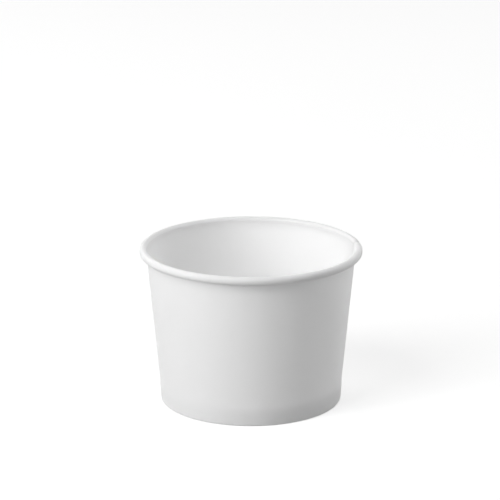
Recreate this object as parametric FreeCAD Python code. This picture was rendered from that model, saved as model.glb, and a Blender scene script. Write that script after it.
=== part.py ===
import FreeCAD, Part
import math
import os
from FreeCAD import Vector

# Paper sundae cup: a conical sidewall with a rolled rim, a lap seam and a folded foot,
# and a base disc whose skirt is held in the fold.
# Millimetres. The cup's axis is +Z and z = 0 is the table. -Y is the front.

# Overall sizes
rim_diameter = 98.0
cup_height = 69.7
foot_diameter = 79.9

# Board
wall_board = 0.45
base_board = 0.40
fit_gap = 0.05

# Rolled rim: the board goes round once, over a straight fall on its outer side that makes
# the roll a little taller than wide, and its edge turns in beside the wall
roll_core_radius = 0.30
roll_fall = 0.25
roll_gap = 0.05
roll_end_angle = -115.0
turn_end_angle = -330.0

# Foot: the board folds in and up, round the skirt of the base
fold_inner_radius = 0.12
tuck_gap = 0.2

# Base disc
panel_height = 8.4
panel_corner_radius = 0.8

# Pressed band round the foot, which swells a little where the skirt is rolled tight
band_lean = 4.1
band_swell = 0.2
shoulder_height = 2.2
shoulder_radius = 20.0

# Lap seam, whose inner edge lies at seam_angle from +X towards the back
lap_width = 8.0
lap_ramp = 2.0
seam_angle = 9.5

AXIS = Vector(0, 0, 1)
ORIGIN = Vector(0, 0, 0)
FULL_TURN = 360.0
QUARTER_TURN = 90.0
OUTWARD = 0.0
LARGEST_CORNER_SHARE = 0.45


def section_point(radius, height):
    """Point of the section's plane, at a radius from the axis and a height."""
    return Vector(radius, 0, height)


def circle_point(centre, radius, angle):
    """Point of a circle in the section's plane, with its angle in degrees from +X to +Z."""
    turned = math.radians(angle)
    return centre + Vector(math.cos(turned), 0, math.sin(turned)) * radius


def arc_through(start, middle, end):
    """Edge of the arc through three points."""
    return Part.Arc(start, middle, end).toShape()


def arc_edge(centre, radius, start_angle, end_angle):
    """Edge of a circle in the section's plane, between two angles in degrees."""
    angles = (start_angle, (start_angle + end_angle) / 2, end_angle)
    return arc_through(*[circle_point(centre, radius, angle) for angle in angles])


def right_of(heading):
    """Unit vector to the right of a heading in the section's plane."""
    return Vector(heading.z, 0, -heading.x)


def shifted(corners, shift):
    """Corners of a path that is moved sideways, to its right where shift is positive."""
    headings = [(end - start).normalize() for start, end in zip(corners, corners[1:])]
    sides = [right_of(heading) for heading in headings]
    moved = [corners[0] + sides[0] * shift]
    for corner, side, next_side in zip(corners[1:], sides, sides[1:]):
        moved.append(corner + (side + next_side) * (shift / (1 + side.dot(next_side))))
    moved.append(corners[-1] + sides[-1] * shift)
    return moved


def fitting_radii(corners, radii):
    """Corner radii of a path, limited where the run beside a corner is too short for one."""
    fitting = []
    for before, corner, after, radius in zip(corners, corners[1:], corners[2:], radii):
        half_turn = (corner - before).getAngle(after - corner) / 2
        shorter_run = min((corner - before).Length, (after - corner).Length)
        fitting.append(min(radius, LARGEST_CORNER_SHARE * shorter_run / math.tan(half_turn)))
    return fitting


def rounded_edges(corners, radii, shift):
    """Edges of a path with rounded corners, moved sideways by shift."""
    path = shifted(corners, shift)
    edges = []
    start = path[0]
    for before, corner, after, radius in zip(path, path[1:], path[2:], fitting_radii(corners, radii)):
        arriving = (corner - before).normalize()
        leaving = (after - corner).normalize()
        half_turn = arriving.getAngle(leaving) / 2
        turns_left = right_of(arriving).dot(leaving) < 0
        bend = radius + shift if turns_left else radius - shift
        arc_start = corner - arriving * bend * math.tan(half_turn)
        arc_end = corner + leaving * bend * math.tan(half_turn)
        inward = (leaving - arriving).normalize()
        arc_middle = corner + inward * (bend / math.cos(half_turn) - bend)
        edges.append(Part.makeLine(start, arc_start))
        edges.append(arc_through(arc_start, arc_middle, arc_end))
        start = arc_end
    edges.append(Part.makeLine(start, path[-1]))
    return edges


def closed_wire(near_edges, far_edges):
    """Wire round a strip of board between the edges of its two faces."""
    first_cap = Part.makeLine(near_edges[0].Vertexes[0].Point, far_edges[0].Vertexes[0].Point)
    last_cap = Part.makeLine(near_edges[-1].Vertexes[-1].Point, far_edges[-1].Vertexes[-1].Point)
    return Part.Wire(Part.__sortEdges__(near_edges + [last_cap] + far_edges + [first_cap]))


# Path of the wall's inner face, from the tuck's edge down, round the fold and up to the rim.
# Shifts to its right go from this face into the board.
band_slope = math.tan(math.radians(band_lean))
slot_width = base_board + 2 * fit_gap
slot_run = slot_width / math.cos(math.radians(band_lean))
tuck_top = panel_height - shoulder_height - tuck_gap


def band_point(height, inset=0.0):
    """Point of the band's inner face at a height, moved towards the axis by inset."""
    radius = foot_diameter / 2 - wall_board + height * band_slope
    return section_point(radius - inset, height)


shoulder_top = band_point(panel_height, band_swell)
shoulder_foot = band_point(panel_height - shoulder_height)

roll_radius = roll_core_radius + 3 * wall_board + roll_gap
turn_radius = roll_core_radius + wall_board
roll_centre = section_point(rim_diameter / 2 - roll_radius, cup_height - roll_radius)
low_centre = roll_centre - AXIS * roll_fall
turn_centre = circle_point(low_centre, roll_radius - turn_radius, roll_end_angle)

# The cone's straight run leaves the shoulder and touches the roll's circle
to_roll = roll_centre - shoulder_top
wall_heading = math.degrees(math.atan2(to_roll.z, to_roll.x) + math.asin(roll_radius / to_roll.Length))
roll_start_angle = wall_heading + QUARTER_TURN
roll_start = circle_point(roll_centre, roll_radius, roll_start_angle)

wall_corners = [
    band_point(tuck_top, slot_run),
    band_point(wall_board, slot_run),
    band_point(wall_board),
    shoulder_foot,
    shoulder_top,
    roll_start,
]
wall_radii = [fold_inner_radius, fold_inner_radius, shoulder_radius, shoulder_radius]


def wall_face_edges(shift, with_turn):
    """Edges of one face of a ply of the wall, with or without the turned-in edge."""
    radius = roll_radius - shift
    fall_start = circle_point(roll_centre, radius, OUTWARD)
    edges = rounded_edges(wall_corners, wall_radii, shift)
    edges.append(arc_edge(roll_centre, radius, roll_start_angle, OUTWARD))
    edges.append(Part.makeLine(fall_start, fall_start - AXIS * roll_fall))
    edges.append(arc_edge(low_centre, radius, OUTWARD, roll_end_angle))
    if with_turn:
        edges.append(arc_edge(turn_centre, turn_radius - shift, roll_end_angle, turn_end_angle))
    return edges


def wall_ply(first_shift, with_turn=False):
    """Wire round a ply of the wall whose inner face is moved outwards by first_shift."""
    far_shift = first_shift + wall_board
    return closed_wire(wall_face_edges(first_shift, with_turn), wall_face_edges(far_shift, with_turn))


def make_sidewall():
    """The wrapped blank: one ply most of the way round, and two plies at the lap."""
    seam_radius = roll_start.x
    lap_turn = math.degrees(lap_width / seam_radius)
    ramp_turn = math.degrees(lap_ramp / seam_radius)
    one_ply = Part.Face(wall_ply(0, with_turn=True))
    two_plies = one_ply.fuse(Part.Face(wall_ply(wall_board))).removeSplitter()
    lap = two_plies.Faces[0].revolve(ORIGIN, AXIS, lap_turn)
    one_ply.rotate(ORIGIN, AXIS, lap_turn)
    ring = one_ply.revolve(ORIGIN, AXIS, FULL_TURN - ramp_turn - lap_turn)
    ramp_foot = wall_ply(0)
    ramp_foot.rotate(ORIGIN, AXIS, -ramp_turn)
    ramp = Part.makeLoft([ramp_foot, wall_ply(wall_board)], True, True)
    below = Part.makeCylinder(rim_diameter, 2 * wall_board, ORIGIN, -AXIS)
    sidewall = ring.fuse([ramp, lap]).cut(below).removeSplitter()
    sidewall.rotate(ORIGIN, AXIS, seam_angle)
    return sidewall


def make_base_disc():
    """Flat panel whose skirt follows the inner face of the wall, down into the fold."""
    skirt_end = band_point(wall_board + fold_inner_radius + fit_gap)
    rim_corner = section_point(shoulder_top.x, panel_height + fit_gap)
    corners = [skirt_end, shoulder_foot, rim_corner, section_point(0, panel_height + fit_gap)]
    radii = [shoulder_radius, panel_corner_radius + fit_gap]
    outer = rounded_edges(corners, radii, -fit_gap)
    inner = rounded_edges(corners, radii, -fit_gap - base_board)
    return Part.Face(closed_wire(outer, inner)).revolve(ORIGIN, AXIS, FULL_TURN)


def solid_of(shape):
    """The one solid of a shape."""
    return shape.Solids[0]


os.makedirs("parts", exist_ok=True)
solid_of(make_sidewall()).exportStep("parts/sidewall.step")
solid_of(make_base_disc()).exportStep("parts/base_disc.step")
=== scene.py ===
import logging
import math
from dataclasses import dataclass, field
from enum import Enum, IntEnum

import bpy
import numpy as np
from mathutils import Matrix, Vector


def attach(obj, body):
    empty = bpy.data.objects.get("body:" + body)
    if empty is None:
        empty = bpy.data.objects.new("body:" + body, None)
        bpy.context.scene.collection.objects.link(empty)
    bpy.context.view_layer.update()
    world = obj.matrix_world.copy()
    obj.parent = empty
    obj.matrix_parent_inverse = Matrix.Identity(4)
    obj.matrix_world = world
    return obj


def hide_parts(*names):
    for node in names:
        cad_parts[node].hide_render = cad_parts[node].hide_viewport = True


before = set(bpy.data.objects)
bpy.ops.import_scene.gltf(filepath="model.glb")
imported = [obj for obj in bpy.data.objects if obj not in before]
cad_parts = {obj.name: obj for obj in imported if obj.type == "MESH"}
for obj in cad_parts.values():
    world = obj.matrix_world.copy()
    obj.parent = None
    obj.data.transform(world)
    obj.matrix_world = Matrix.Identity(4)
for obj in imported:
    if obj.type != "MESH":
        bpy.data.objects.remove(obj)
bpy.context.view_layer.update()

# Looks of a paper sundae cup. Metres and degrees. The cup's axis is +Z, z = 0 is the table
# and -Y is the front.

MM = 0.001
METRE = 1.0
FULL_TURN = 360.0
SHARP_ANGLE = 40.0
BODY = "root"

OPAQUE = 1.0
WHITE = (1.0, 1.0, 1.0, OPAQUE)
EVEN_DEPTH = (1.0, 1.0, 1.0)
NOISE_MEAN = 0.5

# The colour sockets of a Mix node by number, because its other sockets have the same names
MIX_SHARE = 0
MIX_FIRST = 6
MIX_SECOND = 7
MIX_COLOUR = 2

log = logging.getLogger("sundae_cup")


class Channel:
    """A single shader value. Arithmetic on it adds Math nodes."""

    def __init__(self, graph: "Graph", socket: bpy.types.NodeSocket) -> None:
        """Wraps one output socket of a graph.

        Args:
            graph: The node graph that the socket belongs to.
            socket: The output socket that carries the value.
        """
        self.graph = graph
        self.socket = socket

    def _joined(self, operation: str, first: "Channel | float", second: "Channel | float") -> "Channel":
        """One Math node on two values.

        Args:
            operation: The Math node's operation.
            first: Its first value.
            second: Its second value.

        Returns:
            The node's result.
        """
        node = self.graph.node("ShaderNodeMath", {"operation": operation}, {0: first, 1: second})
        return Channel(self.graph, node.outputs[0])

    def __add__(self, other: "Channel | float") -> "Channel":
        """Sum of two values."""
        return self._joined("ADD", self, other)

    def __radd__(self, other: float) -> "Channel":
        """Sum with a plain number on the left."""
        return self._joined("ADD", other, self)

    def __sub__(self, other: "Channel | float") -> "Channel":
        """Difference of two values."""
        return self._joined("SUBTRACT", self, other)

    def __rsub__(self, other: float) -> "Channel":
        """Difference from a plain number."""
        return self._joined("SUBTRACT", other, self)

    def __mul__(self, other: "Channel | float") -> "Channel":
        """Product of two values."""
        return self._joined("MULTIPLY", self, other)

    def __rmul__(self, other: float) -> "Channel":
        """Product with a plain number on the left."""
        return self._joined("MULTIPLY", other, self)

    def most(self, other: "Channel | float") -> "Channel":
        """The larger of two values."""
        return self._joined("MAXIMUM", self, other)


class Graph:
    """A node tree, with one way to add any node."""

    def __init__(self, tree: bpy.types.NodeTree) -> None:
        """Empties a node tree to build in it."""
        self.tree = tree
        tree.nodes.clear()

    def node(self, kind: str, settings: dict[str, object] | None = None,
             inputs: dict[str | int, object] | None = None) -> bpy.types.Node:
        """Adds a node.

        Args:
            kind: The node's type name.
            settings: Properties to set before its sockets.
            inputs: Values, channels or sockets by the name or number of the input.

        Returns:
            The new node.
        """
        made = self.tree.nodes.new(kind)
        for name, value in (settings or {}).items():
            setattr(made, name, value)
        for name, value in (inputs or {}).items():
            if isinstance(value, Channel):
                value = value.socket
            if isinstance(value, bpy.types.NodeSocket):
                self.tree.links.new(value, made.inputs[name])
            else:
                made.inputs[name].default_value = value
        return made

    def seen(self) -> Channel:
        """Tells what the camera and reflections see from what only lights others.

        Returns:
            1 where a surface is looked at or mirrored, and 0 elsewhere.
        """
        path = self.node("ShaderNodeLightPath")
        seen = Channel(self, path.outputs["Is Camera Ray"])
        for name in ("Is Glossy Ray", "Is Transmission Ray"):
            seen = seen.most(Channel(self, path.outputs[name]))
        return seen

    def noise(self, place: bpy.types.NodeSocket, size: float, layers: float) -> Channel:
        """Soft noise about one half.

        Args:
            place: The coordinates.
            size: Size of its patches, in metres.
            layers: How many finer layers it holds.

        Returns:
            The noise, from 0 to 1.
        """
        inputs = {"Vector": place, "Scale": 1.0 / size, "Detail": layers}
        return Channel(self, self.node("ShaderNodeTexNoise", inputs=inputs).outputs["Fac"])

    def blend(self, share: Channel, first: tuple[float, float, float],
              second: tuple[float, float, float]) -> bpy.types.NodeSocket:
        """Colour between two tones.

        Args:
            share: 0 gives the first tone and 1 the second.
            first: First tone, linear red, green and blue.
            second: Second tone.

        Returns:
            The colour socket.
        """
        inputs = {MIX_SHARE: share, MIX_FIRST: (*first, OPAQUE), MIX_SECOND: (*second, OPAQUE)}
        return self.node("ShaderNodeMix", {"data_type": "RGBA"}, inputs).outputs[MIX_COLOUR]


@dataclass(frozen=True)
class BoardFinish:
    """White paper board: smooth where it is coated, fibrous where it is cut.

    Attributes:
        name: The material's name.
        light_tone: Its lighter tone, linear red, green and blue.
        dark_tone: Its darker tone.
        roughness: Its middle roughness.
        roughness_swing: Roughness between its smoothest and its roughest places.
        fibre_size: Size of the fibres in the surface.
        fibre_height: How far the fibres stand out.
        cloud_size: Size of the softer unevenness.
        cloud_height: How far the unevenness stands out.
        depth_share: Share of the light that goes into the board.
        depth: How deep that light goes.
        fibre_layers: How many finer layers the fibres have.
        cloud_layers: How many finer layers the unevenness has.
        fibre_share: What the fibres have in the tone. The unevenness has the rest.
    """

    name: str
    light_tone: tuple[float, float, float]
    dark_tone: tuple[float, float, float]
    roughness: float
    roughness_swing: float
    fibre_size: float
    fibre_height: float
    cloud_size: float
    cloud_height: float
    depth_share: float
    depth: float
    fibre_layers: float = 3.0
    cloud_layers: float = 2.0
    fibre_share: float = 0.5

    def material(self) -> bpy.types.Material:
        """Builds the finish.

        Returns:
            The material.
        """
        made = bpy.data.materials.new(self.name)
        made.use_nodes = True
        graph = Graph(made.node_tree)
        place = graph.node("ShaderNodeTexCoord").outputs["Object"]
        fibre = graph.noise(place, self.fibre_size, self.fibre_layers)
        cloud = graph.noise(place, self.cloud_size, self.cloud_layers)
        relief = fibre * self.fibre_height + cloud * self.cloud_height
        bump = graph.node("ShaderNodeBump", inputs={"Height": relief, "Distance": METRE})
        mottle = fibre * self.fibre_share + cloud * (1 - self.fibre_share)
        surface = graph.node("ShaderNodeBsdfPrincipled", inputs={
            "Base Color": graph.blend(mottle, self.dark_tone, self.light_tone),
            "Roughness": self.roughness + (fibre - NOISE_MEAN) * self.roughness_swing,
            "Normal": bump.outputs["Normal"],
            "Subsurface Weight": self.depth_share,
            "Subsurface Radius": EVEN_DEPTH,
            "Subsurface Scale": self.depth,
        })
        graph.node("ShaderNodeOutputMaterial", inputs={"Surface": surface.outputs["BSDF"]})
        return made


COATED_BOARD = BoardFinish(
    name="coated_board",
    light_tone=(0.885, 0.885, 0.885),
    dark_tone=(0.865, 0.865, 0.865),
    roughness=0.60,
    roughness_swing=0.10,
    fibre_size=0.35 * MM,
    fibre_height=0.004 * MM,
    cloud_size=6.0 * MM,
    cloud_height=0.02 * MM,
    depth_share=1.0,
    depth=0.6 * MM,
)
# The inside's tones are lighter than the outside's, though both are the same white board: painted light
# that brightens the inside of the cup and its base.
COATED_INSIDE = BoardFinish(
    name="coated_inside",
    light_tone=(0.955, 0.955, 0.955),
    dark_tone=(0.935, 0.935, 0.935),
    roughness=0.64,
    roughness_swing=0.08,
    fibre_size=0.35 * MM,
    fibre_height=0.004 * MM,
    cloud_size=6.0 * MM,
    cloud_height=0.02 * MM,
    depth_share=1.0,
    depth=0.8 * MM,
)
CUT_EDGE = BoardFinish(
    name="cut_edge",
    light_tone=(0.87, 0.87, 0.86),
    dark_tone=(0.78, 0.78, 0.77),
    roughness=0.85,
    roughness_swing=0.10,
    fibre_size=0.12 * MM,
    fibre_height=0.03 * MM,
    cloud_size=1.2 * MM,
    cloud_height=0.01 * MM,
    depth_share=0.0,
    depth=0.15 * MM,
)


class BoardSide(IntEnum):
    """Sides of the wrapped blank. The value is the side's place in the list of finishes."""

    INSIDE = 0
    OUTSIDE = 1
    CUT = 2


SIDE_FINISHES = {
    BoardSide.INSIDE: COATED_INSIDE,
    BoardSide.OUTSIDE: COATED_BOARD,
    BoardSide.CUT: CUT_EDGE,
}


def eased(share: np.ndarray) -> np.ndarray:
    """Smooth step from 0 to 1."""
    held = np.clip(share, 0.0, 1.0)
    return held * held * (3.0 - 2.0 * held)


def on_circle(angles: np.ndarray) -> np.ndarray:
    """Unit vectors at angles in radians."""
    return np.stack([np.cos(angles), np.sin(angles)], axis=-1)


def right_of(heading: np.ndarray) -> np.ndarray:
    """The unit vector to the right of a heading in the section's plane."""
    return np.array([heading[1], -heading[0]])


@dataclass
class SectionPath:
    """Points along one face of the board in the section's plane, each with the way into the board."""

    places: list[np.ndarray] = field(default_factory=list)
    sides: list[np.ndarray] = field(default_factory=list)

    def run(self, start: np.ndarray, end: np.ndarray, steps: int) -> None:
        """Adds a straight run.

        Args:
            start: Its first point.
            end: Its last point.
            steps: How many parts it is cut into.
        """
        length = np.linalg.norm(end - start)
        side = right_of((end - start) / length)
        for share in np.linspace(0.0, 1.0, steps + 1):
            self.places.append(start + (end - start) * share)
            self.sides.append(side)

    def bend(self, start: np.ndarray, arriving: np.ndarray, leaving: np.ndarray, radius: float,
             steps: int) -> None:
        """Adds the inside of a bend, without its two ends.

        Args:
            start: Where the bend starts.
            arriving: Heading before it.
            leaving: Heading after it.
            radius: Its radius.
            steps: How many parts it is cut into.
        """
        first = right_of(arriving)
        last = right_of(leaving)
        towards = 1.0 if first @ leaving < 0 else -1.0
        centre = start - first * radius * towards
        angle = math.atan2(first[1], first[0])
        swing = math.atan2(first[0] * last[1] - first[1] * last[0], first @ last)
        for share in np.linspace(0.0, 1.0, steps + 1)[1:-1]:
            side = on_circle(np.array(angle + swing * share))
            self.places.append(centre + side * radius * towards)
            self.sides.append(side)

    def follow(self, corners: list[np.ndarray], radii: list[float], runs: tuple[int, ...],
               bends: tuple[int, ...]) -> None:
        """Adds a path with rounded corners.

        Args:
            corners: Its corners, with its two ends.
            radii: A radius for each inner corner.
            runs: How many parts each straight run is cut into.
            bends: How many parts each bend is cut into.
        """
        start = corners[0]
        headings = [(b - a) / np.linalg.norm(b - a) for a, b in zip(corners, corners[1:])]
        for index, (corner, radius) in enumerate(zip(corners[1:-1], radii)):
            arriving = headings[index]
            leaving = headings[index + 1]
            setback = radius * math.tan(math.acos(float(arriving @ leaving)) / 2)
            self.run(start, corner - arriving * setback, runs[index])
            self.bend(corner - arriving * setback, arriving, leaving, radius, bends[index])
            start = corner + leaving * setback
        self.run(start, corners[-1], runs[-1])


def ring_quads(here: np.ndarray, ahead: np.ndarray) -> np.ndarray:
    """Quads that join section rings to the next ones, all the way round the section.

    Args:
        here: Numbers of the points, by station and place round the ring.
        ahead: The same for the stations that follow.

    Returns:
        Four points by station and place round the ring.
    """
    return np.stack([here, np.roll(here, -1, axis=1), np.roll(ahead, -1, axis=1), ahead], axis=-1)


def skin(name: str, rings: np.ndarray, faces: list[list[int]]) -> bpy.types.Mesh:
    """Mesh over a row of section rings.

    Args:
        name: The mesh's name.
        rings: Points by station, place round the ring and coordinate. A ring goes along one
            face of the board and back along the other.
        faces: Numbers of each face's points.

    Returns:
        The mesh.
    """
    mesh = bpy.data.meshes.new(name)
    mesh.from_pydata(rings.reshape(-1, rings.shape[-1]).tolist(), [], faces)
    mesh.validate()
    return mesh


def dressed(mesh: bpy.types.Mesh, node: str, finishes: list[BoardFinish]) -> bpy.types.Object:
    """Puts a piece in the scene in place of its plain solid.

    Args:
        mesh: The piece's mesh.
        node: The solid that it stands for.
        finishes: Its finishes, in the order of its material numbers.

    Returns:
        The piece.
    """
    piece = bpy.data.objects.new(mesh.name, mesh)
    bpy.context.scene.collection.objects.link(piece)
    for finish in finishes:
        mesh.materials.append(finish.material())
    mesh.shade_smooth()
    mesh.set_sharp_from_angle(angle=math.radians(SHARP_ANGLE))
    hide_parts(node)
    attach(piece, BODY)
    return piece


@dataclass(frozen=True)
class CupForm:
    """Driving dimensions that the sidewall and the base share.

    Attributes:
        rim_diameter: Across the rolled rim.
        height: From the table to the top of the rim.
        foot_diameter: Across the foot at the table.
        wall_board: Thickness of the sidewall's board.
        base_board: Thickness of the base's board.
        fit_gap: Room between the skirt and the sidewall.
        fold_radius: Inner radius of the two bends of the foot's fold.
        tuck_gap: How far the tucked edge ends below the shoulder.
        panel_height: Height of the panel's upper face.
        panel_corner_radius: Outer radius between the panel and the skirt.
        band_lean: How far the pressed band leans out from upright.
        band_swell: How far the cone starts inside the line of the band.
        shoulder_height: Height of the shoulder between the band and the cone.
        shoulder_radius: Radius of the bends at the shoulder's two ends.
    """

    rim_diameter: float = 98.0 * MM
    height: float = 69.7 * MM
    foot_diameter: float = 79.9 * MM
    wall_board: float = 0.45 * MM
    base_board: float = 0.40 * MM
    fit_gap: float = 0.05 * MM
    fold_radius: float = 0.12 * MM
    tuck_gap: float = 0.2 * MM
    panel_height: float = 8.4 * MM
    panel_corner_radius: float = 0.8 * MM
    band_lean: float = 4.1
    band_swell: float = 0.2 * MM
    shoulder_height: float = 2.2 * MM
    shoulder_radius: float = 20.0 * MM

    def band_point(self, height: float, inset: float = 0.0) -> np.ndarray:
        """Point of the band's inner face at a height, moved towards the axis by inset."""
        radius = self.foot_diameter / 2 - self.wall_board + height * math.tan(math.radians(self.band_lean))
        return np.array([radius - inset, height])

    @property
    def shoulder_top(self) -> np.ndarray:
        """Where the cone starts, level with the panel."""
        return self.band_point(self.panel_height, self.band_swell)

    @property
    def shoulder_foot(self) -> np.ndarray:
        """Where the pressed band ends below the shoulder."""
        return self.band_point(self.panel_height - self.shoulder_height)

    @property
    def slot_run(self) -> float:
        """Level width of the slot that the skirt sits in."""
        return (self.base_board + 2 * self.fit_gap) / math.cos(math.radians(self.band_lean))


@dataclass(frozen=True)
class Waviness:
    """Slow swells in the board, which bend the light a little on a wide plain wall.

    Attributes:
        height: The most that the swells stand out together.
        turns: How many waves each swell has round the cup.
        rises: How many waves each swell has up the cone.
        seed: Start of the chance that places the waves.
    """

    height: float = 0.035 * MM
    turns: tuple[int, ...] = (3, 5, 8, 13, 19)
    rises: tuple[float, ...] = (0.7, 1.3, 1.9, 2.4, 3.1)
    seed: int = 7

    def swell(self, turn: np.ndarray, rise: np.ndarray) -> np.ndarray:
        """How far the wall stands out.

        Args:
            turn: Angles about the axis, in radians.
            rise: Heights as a share of the wall.

        Returns:
            The swell, in metres.
        """
        chance = np.random.default_rng(self.seed)
        total = np.zeros(np.broadcast(turn, rise).shape)
        for count, waves in zip(self.turns, self.rises):
            start, lean = chance.uniform(0.0, 2 * math.pi, 2)
            total = total + np.sin(count * turn + start) * np.sin(2 * math.pi * waves * rise + lean)
        return self.height * total / len(self.turns)


@dataclass
class Sidewall:
    """The wrapped blank: folded foot, pressed band, cone, rolled rim and lap seam.

    Attributes:
        form: Sizes that it shares with the base.
        roll_plies: Thicknesses of board between the roll's core and its outside.
        roll_core_radius: Radius of the roll's hollow core.
        roll_fall: Straight fall on the roll's outer side, which makes it taller than wide.
        roll_gap: Room between the turns of the roll.
        roll_end: Where the large turn of the roll ends, from outwards to upwards.
        turn_end: Where the turned-in edge ends.
        lap_width: How far the blank's ends overlap.
        lap_ramp: Length of the outer ply's climb on to the inner one.
        glue: Thickness of the glue in the lap.
        seam_angle: Place of the blank's inner edge, from +X towards the back.
        edge_press: How much thinner the blank's cut ends are.
        edge_press_turn: Angle over which the cut ends thin out.
        notch_fade: Angle over which the turned-in edge ends beside the lap.
        swell_fade_rate: One over the share of the cone in which the waviness fades at each end.
        turn_step: Largest angle between two section rings.
        ramp_steps: How many parts the ramp is cut into.
        press_steps: How many parts each pressed end is cut into.
        roll_steps: How many parts the roll is cut into.
        run_steps: How many parts each straight run of the wall is cut into.
        bend_steps: How many parts each bend of the wall is cut into.
        waviness: Unevenness of the cone.
    """

    form: CupForm
    roll_plies: int = 3
    roll_core_radius: float = 0.30 * MM
    roll_fall: float = 0.25 * MM
    roll_gap: float = 0.05 * MM
    roll_end: float = -115.0
    turn_end: float = -330.0
    lap_width: float = 8.0 * MM
    lap_ramp: float = 2.0 * MM
    glue: float = 0.03 * MM
    seam_angle: float = 9.5
    edge_press: float = 0.30 * MM
    edge_press_turn: float = 2.4
    notch_fade: float = 3.0
    swell_fade_rate: float = 6.0
    turn_step: float = 1.25
    ramp_steps: int = 8
    press_steps: int = 8
    roll_steps: int = 40
    run_steps: tuple[int, ...] = (3, 2, 4, 1, 16)
    bend_steps: tuple[int, ...] = (6, 6, 5, 5)
    waviness: Waviness = Waviness()

    def __post_init__(self) -> None:
        """Works out the roll and the section's path."""
        form = self.form
        self.roll_radius = self.roll_core_radius + self.roll_plies * form.wall_board + self.roll_gap
        self.turn_radius = self.roll_core_radius + form.wall_board
        self.roll_centre = np.array([form.rim_diameter / 2 - self.roll_radius,
                                     form.height - self.roll_radius])
        low_centre = self.roll_centre - np.array([0.0, self.roll_fall])
        inward = on_circle(np.radians(self.roll_end))
        self.turn_centre = low_centre + inward * (self.roll_radius - self.turn_radius)
        to_roll = self.roll_centre - form.shoulder_top
        reach = float(np.linalg.norm(to_roll))
        heading = math.atan2(to_roll[1], to_roll[0]) + math.asin(self.roll_radius / reach)
        self.roll_start = heading + math.pi / 2
        self.crown_length = self.roll_radius * self.roll_start
        low_length = self.roll_radius * math.radians(-self.roll_end)
        self.roll_length = self.crown_length + self.roll_fall + low_length
        turned = math.radians(self.roll_end - self.turn_end)
        self.full_length = self.roll_length + self.turn_radius * turned
        self.path = self._wall_path()

    def _wall_path(self) -> SectionPath:
        """Path of the board's inner face, from the tuck's edge to where the roll starts.

        Returns:
            The path.
        """
        form = self.form
        tuck_top = form.panel_height - form.shoulder_height - form.tuck_gap
        roll_start = self.roll_centre + on_circle(np.array(self.roll_start)) * self.roll_radius
        path = SectionPath()
        path.follow(
            corners=[
                form.band_point(tuck_top, form.slot_run),
                form.band_point(form.wall_board, form.slot_run),
                form.band_point(form.wall_board),
                form.shoulder_foot,
                form.shoulder_top,
                roll_start,
            ],
            radii=[form.fold_radius, form.fold_radius, form.shoulder_radius, form.shoulder_radius],
            runs=self.run_steps,
            bends=self.bend_steps,
        )
        return path

    def _roll(self, lengths: np.ndarray) -> tuple[np.ndarray, np.ndarray]:
        """Points of the rolled edge.

        Args:
            lengths: How far along the board they lie from the roll's start.

        Returns:
            The points, and the ways into the board.
        """
        in_roll = (lengths <= self.roll_length)[..., None]
        fallen = np.clip(lengths - self.crown_length, 0.0, self.roll_fall)
        roll_side = on_circle(self.roll_start - (lengths - fallen) / self.roll_radius)
        spare = (lengths - self.roll_length) / self.turn_radius
        turn_side = on_circle(math.radians(self.roll_end) - spare)
        roll = self.roll_centre + roll_side * self.roll_radius
        roll[..., 1] -= fallen
        turn = self.turn_centre + turn_side * self.turn_radius
        return np.where(in_roll, roll, turn), -np.where(in_roll, roll_side, turn_side)

    def _stations(self) -> np.ndarray:
        """Angles of the section rings, from the board's inner edge round to its outer one.

        Returns:
            The angles, in degrees from the inner edge.
        """
        press = self.edge_press_turn
        lap = self.lap_turn
        ramp_foot = FULL_TURN - self.ramp_turn
        lap_steps = math.ceil(lap / self.turn_step)
        ring_steps = math.ceil((ramp_foot - lap) / self.turn_step)
        marks = [0.0, press, lap, ramp_foot, FULL_TURN, FULL_TURN + lap - press, FULL_TURN + lap]
        steps = [self.press_steps, lap_steps, ring_steps, self.ramp_steps, lap_steps, self.press_steps]
        stretches = [np.linspace(start, end, count, endpoint=False)
                     for start, end, count in zip(marks, marks[1:], steps)]
        return np.append(np.concatenate(stretches), marks[-1])

    @property
    def lap_turn(self) -> float:
        """Angle that the lap covers, in degrees."""
        return math.degrees(self.lap_width / (self.roll_centre[0] - self.roll_radius))

    @property
    def ramp_turn(self) -> float:
        """Angle over which the outer ply climbs on to the inner one, in degrees."""
        return math.degrees(self.lap_ramp / (self.roll_centre[0] - self.roll_radius))

    def _rings(self) -> np.ndarray:
        """Section rings of the whole wrapped blank.

        Returns:
            Points by station, place round the ring and coordinate.
        """
        form = self.form
        board = form.wall_board
        turns = self._stations()
        ramp_foot = FULL_TURN - self.ramp_turn

        # The outer ply climbs on to the inner one, and the turned-in edge stops short of the lap
        shift = eased((turns - ramp_foot) / self.ramp_turn) * (board + self.glue)
        clear = np.minimum(turns - self.lap_turn, ramp_foot - turns) / self.notch_fade
        ends = self.roll_length + (self.full_length - self.roll_length) * eased(clear)
        lengths = np.linspace(0.0, 1.0, self.roll_steps + 1) * ends[:, None]
        roll_places, roll_sides = self._roll(lengths)
        count = len(turns)
        wall_places = np.array(self.path.places[:-1])
        wall_sides = np.array(self.path.sides[:-1])
        places = np.concatenate([np.repeat(wall_places[None], count, axis=0), roll_places], axis=1)
        sides = np.concatenate([np.repeat(wall_sides[None], count, axis=0), roll_sides], axis=1)

        # In the fold both plies of the lap are pressed to the height of one
        under_lap = 1.0 - eased((turns - self.lap_turn) / self.notch_fade)
        pressed = 1.0 - under_lap * (board + self.glue) / (2 * board + self.glue)
        pressed = np.minimum(pressed, board / (board + shift))
        in_foot = places[..., 1] < form.wall_board + form.fold_radius
        squeeze = np.where(in_foot, 1.0 - (1.0 - pressed[:, None]) * sides[..., 1] ** 2, 1.0)

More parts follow.
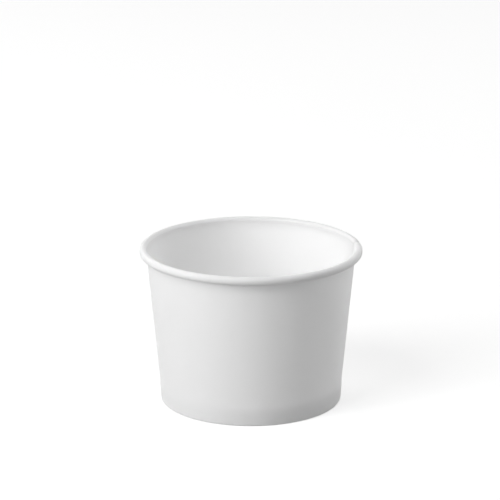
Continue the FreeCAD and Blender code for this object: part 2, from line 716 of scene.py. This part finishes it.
        # The blank's two cut ends are pressed thin, and no board goes below the table
        inner_press = self.edge_press * (1.0 - eased(turns / self.edge_press_turn))
        outer_press = self.edge_press * (1.0 - eased((turns[-1] - turns) / self.edge_press_turn))
        near = places + sides * (shift[:, None] * squeeze + inner_press[:, None])[..., None]
        far = places + sides * ((shift[:, None] + board) * squeeze - outer_press[:, None])[..., None]
        section = np.concatenate([near, far[:, ::-1]], axis=1)
        section[..., 1] = np.maximum(section[..., 1], 0.0)

        # The cone swells a little between the shoulder and the roll
        angles = np.radians(turns + self.seam_angle)[:, None]
        cone_foot = form.shoulder_top[1]
        cone_rise = (section[..., 1] - cone_foot) / (self.roll_centre[1] - cone_foot)
        rate = self.swell_fade_rate
        on_cone = eased(cone_rise * rate) * eased((1.0 - cone_rise) * rate)
        radius = section[..., 0] + on_cone * self.waviness.swell(angles, cone_rise)
        return np.stack([radius * np.cos(angles), radius * np.sin(angles), section[..., 1]], axis=-1)

    @staticmethod
    def _faces(stations: int, around: int) -> list[list[int]]:
        """Faces of the wrapped blank, with a cap on each of its cut ends.

        Args:
            stations: How many section rings there are.
            around: How many points a ring has.

        Returns:
            Numbers of each face's points.
        """
        number = np.arange(stations * around).reshape(stations, around)
        quads = ring_quads(number[:-1], number[1:])
        faces = quads.reshape(-1, quads.shape[-1]).tolist()
        half = around // 2
        for ring, order in ((number[0], 1), (number[-1], -1)):
            near = ring[:half]
            far = ring[:half - 1:-1]
            cap = np.stack([near[:-1], far[:-1], far[1:], near[1:]], axis=-1)
            faces += cap[:, ::order].tolist()
        return faces

    def build(self) -> bpy.types.Object:
        """Builds and dresses the sidewall.

        Returns:
            The piece.
        """
        rings = self._rings()
        stations, around, _ = rings.shape
        mesh = skin("wrapped_sidewall", rings, self._faces(stations, around))
        piece = dressed(mesh, "sidewall", list(SIDE_FINISHES.values()))
        self._mark_sides(mesh, around)
        return piece

    def _mark_sides(self, mesh: bpy.types.Mesh, around: int) -> None:
        """Gives the board's two faces and its cut edges their own finishes.

        All of the rolled rim gets the outside's darker finish in place of its own face's: painted shade
        that dims the rim's highlight and darkens the inner side of the roll.

        Args:
            mesh: The sidewall's mesh.
            around: How many points a ring has.
        """
        half = around // 2
        first_rolled = len(self.path.places) - 1
        for polygon in mesh.polygons:
            places = {v % around for v in polygon.vertices}
            stations = {v // around for v in polygon.vertices}
            at_free_edge = places in ({half - 1, half}, {0, around - 1})
            at_lap_end = len(stations) == 1
            if at_free_edge or at_lap_end:
                polygon.material_index = BoardSide.CUT
            # Painted shade: the roll takes the outside's darker tone, not the tone of the face it really
            # shows.
            elif min(places) >= first_rolled:
                polygon.material_index = BoardSide.OUTSIDE


@dataclass
class BaseDisc:
    """The base: a flat panel with a skirt that goes down into the foot's fold.

    Attributes:
        form: Sizes that it shares with the sidewall.
        hub_radius: Radius of the flat caps in the middle of the panel.
        turn_steps: How many section rings it has.
        run_steps: How many parts each straight run of its section is cut into.
        bend_steps: How many parts each bend of its section is cut into.
    """

    form: CupForm
    hub_radius: float = 1.0 * MM
    turn_steps: int = 240
    run_steps: tuple[int, ...] = (4, 1, 8)
    bend_steps: tuple[int, ...] = (5, 8)

    def _rings(self) -> np.ndarray:
        """Section rings of the base.

        Returns:
            Points by station, place round the ring and coordinate.
        """
        form = self.form
        skirt_foot = form.band_point(form.wall_board + form.fold_radius + form.fit_gap)
        level = form.panel_height + form.fit_gap
        path = SectionPath()
        path.follow(
            corners=[
                skirt_foot,
                form.shoulder_foot,
                np.array([form.shoulder_top[0], level]),
                np.array([self.hub_radius, level]),
            ],
            radii=[form.shoulder_radius, form.panel_corner_radius + form.fit_gap],
            runs=self.run_steps,
            bends=self.bend_steps,
        )
        places = np.array(path.places)
        sides = np.array(path.sides)
        near = places - sides * form.fit_gap
        far = places - sides * (form.fit_gap + form.base_board)
        section = np.concatenate([near, far[::-1]])
        angles = np.radians(np.linspace(0.0, FULL_TURN, self.turn_steps, endpoint=False))[:, None]
        radius = section[None, :, 0]
        level_points = np.broadcast_to(section[None, :, 1], (self.turn_steps, len(section)))
        return np.stack([radius * np.cos(angles), radius * np.sin(angles), level_points], axis=-1)

    @staticmethod
    def _faces(stations: int, around: int) -> list[list[int]]:
        """Faces of the base, with a flat cap on each side of its hub.

        Args:
            stations: How many section rings there are.
            around: How many points a ring has.

        Returns:
            Numbers of each face's points.
        """
        number = np.arange(stations * around).reshape(stations, around)
        hub = around // 2 - 1
        quads = np.delete(ring_quads(np.roll(number, -1, axis=0), number), hub, axis=1)
        faces = quads.reshape(-1, quads.shape[-1]).tolist()
        faces.append(number[:, hub].tolist())
        faces.append(number[::-1, hub + 1].tolist())
        return faces

    def build(self) -> bpy.types.Object:
        """Builds and dresses the base.

        Returns:
            The piece.
        """
        rings = self._rings()
        stations, around, _ = rings.shape
        mesh = skin("pressed_base", rings, self._faces(stations, around))
        # The base takes the inside's lighter tone, which is painted light, as on the wall's inside.
        return dressed(mesh, "base_disc", [COATED_INSIDE])


class LightKind(Enum):
    """What a lamp is for."""

    KEY = "key"
    FILL = "fill"


@dataclass(frozen=True)
class Lamp:
    """A square soft light that looks at the cup.

    Attributes:
        name: The lamp's name.
        kind: What it is for.
        level: Its strength. At 1, a white sheet that faces it shows as plain white.
        azimuth: Its side of the cup, from the front towards +X.
        elevation: How high it hangs over the level.
        distance: How far it hangs from its target.
        size: Length of its side.
    """

    name: str
    kind: LightKind
    level: float
    azimuth: float
    elevation: float
    distance: float = 1.4
    size: float = 0.8

    def hang(self, target: Vector) -> None:
        """Puts the lamp in the scene.

        Args:
            target: The point that it looks at.
        """
        data = bpy.data.lights.new(self.name, "AREA")
        data.size = self.size
        data.energy = self.level * math.pi ** 2 * self.distance ** 2
        lamp = bpy.data.objects.new(self.name, data)
        bpy.context.scene.collection.objects.link(lamp)
        turn = math.radians(self.azimuth)
        rise = math.radians(self.elevation)
        away = Vector((math.sin(turn) * math.cos(rise), -math.cos(turn) * math.cos(rise), math.sin(rise)))
        lamp.location = target + away * self.distance
        lamp.rotation_euler = away.to_track_quat("Z", "Y").to_euler()


@dataclass
class Studio:
    """White surround, pale floor, soft lamps and the camera.

    Attributes:
        rim_height: Height of the middle of the rolled rim.
        camera_distance: From the camera to its target.
        camera_elevation: How far the camera looks down.
        camera_side: Place of the camera's target along X.
        camera_drop: How far the target lies below the rim's middle.
        lens: Focal length, in millimetres.
        sensor: Width of the camera's sensor, in millimetres.
        surround_level: Light that the surround gives. 1 is white.
        floor_half: Half the length of the floor's side.
        floor_drop: How far the floor lies below the foot.
        floor_tone: The floor's own grey.
        floor_lift: Light added to the floor for the camera and in reflections.
        lamps: The soft lamps.
    """

    rim_height: float
    camera_distance: float = 1212.0 * MM
    camera_elevation: float = 16.5
    camera_side: float = -0.42 * MM
    camera_drop: float = 0.28 * MM
    lens: float = 198.6
    sensor: float = 36.0
    surround_level: float = 0.09
    floor_half: float = 3.0
    floor_drop: float = 0.1 * MM
    floor_tone: float = 0.507
    floor_lift: float = 0.63
    lamps: tuple[Lamp, ...] = (
        Lamp("key_left", LightKind.KEY, level=0.360, azimuth=-63.0, elevation=20.0, size=0.6),
        Lamp("front_left", LightKind.KEY, level=0.159, azimuth=-45.0, elevation=28.0, size=0.6),
        Lamp("high_left", LightKind.KEY, level=0.308, azimuth=-45.0, elevation=50.0, size=0.6),
        Lamp("back_left", LightKind.FILL, level=0.229, azimuth=-150.0, elevation=40.0),
        Lamp("high_right", LightKind.FILL, level=0.075, azimuth=60.0, elevation=70.0, distance=1.2),
        Lamp("front_right", LightKind.FILL, level=0.110, azimuth=40.0, elevation=45.0),
        Lamp("side_right", LightKind.FILL, level=0.191, azimuth=105.0, elevation=10.0, distance=1.6),
        Lamp("back_right", LightKind.FILL, level=0.254, azimuth=135.0, elevation=12.0, distance=1.6,
             size=1.2),
    )

    def build(self) -> None:
        """Builds the whole studio."""
        self._surround()
        self._floor()
        self._camera()
        for lamp in self.lamps:
            lamp.hang(Vector((0.0, 0.0, self.rim_height / 2)))
            log.info("lamp %s, %s", lamp.name, lamp.kind.value)
        scene = bpy.context.scene
        scene.view_settings.view_transform = "Standard"

    def _surround(self) -> None:
        """White to the camera and in reflections, and plain grey light on the cup."""
        world = bpy.data.worlds.new("surround")
        bpy.context.scene.world = world
        world.use_nodes = True
        graph = Graph(world.node_tree)
        seen = graph.seen()
        strength = seen + (1 - seen) * self.surround_level
        sky = graph.node("ShaderNodeBackground", inputs={"Color": WHITE, "Strength": strength})
        graph.node("ShaderNodeOutputWorld", inputs={"Surface": sky.outputs["Background"]})

    def _floor(self) -> None:
        """Pale floor, lifted to white for the camera, that keeps the cup's shadow."""
        half = self.floor_half
        level = -self.floor_drop
        corners = [(-half, -half, level), (half, -half, level), (half, half, level), (-half, half, level)]
        mesh = bpy.data.meshes.new("floor")
        mesh.from_pydata(corners, [], [(0, 1, 2, 3)])
        floor = bpy.data.objects.new("floor", mesh)
        bpy.context.scene.collection.objects.link(floor)
        material = bpy.data.materials.new("floor_paper")
        material.use_nodes = True
        graph = Graph(material.node_tree)
        tone = (self.floor_tone, self.floor_tone, self.floor_tone, OPAQUE)
        matt = graph.node("ShaderNodeBsdfDiffuse", inputs={"Color": tone})
        lift = graph.node("ShaderNodeEmission", inputs={"Strength": graph.seen() * self.floor_lift})
        shaders = {0: matt.outputs["BSDF"], 1: lift.outputs["Emission"]}
        both = graph.node("ShaderNodeAddShader", inputs=shaders)
        graph.node("ShaderNodeOutputMaterial", inputs={"Surface": both.outputs["Shader"]})
        mesh.materials.append(material)

    def _camera(self) -> None:
        """The photo's view: a long lens, a little above the cup and aimed at its rim."""
        data = bpy.data.cameras.new("camera")
        data.lens = self.lens
        data.sensor_width = self.sensor
        camera = bpy.data.objects.new("camera", data)
        bpy.context.scene.collection.objects.link(camera)
        rise = math.radians(self.camera_elevation)
        away = Vector((0.0, -math.cos(rise), math.sin(rise)))
        target = Vector((self.camera_side, 0.0, self.rim_height - self.camera_drop))
        camera.location = target + away * self.camera_distance
        camera.rotation_euler = away.to_track_quat("Z", "Y").to_euler()
        bpy.context.scene.camera = camera


def main() -> None:
    """Builds the cup and the studio, and reports each piece."""
    logging.basicConfig(level=logging.INFO, format="%(message)s")
    form = CupForm()
    sidewall = Sidewall(form)
    for part in (sidewall, BaseDisc(form)):
        piece = part.build()
        log.info("%s: %d faces", piece.name, len(piece.data.polygons))
    Studio(rim_height=float(sidewall.roll_centre[1])).build()


if __name__ == "__main__":
    main()
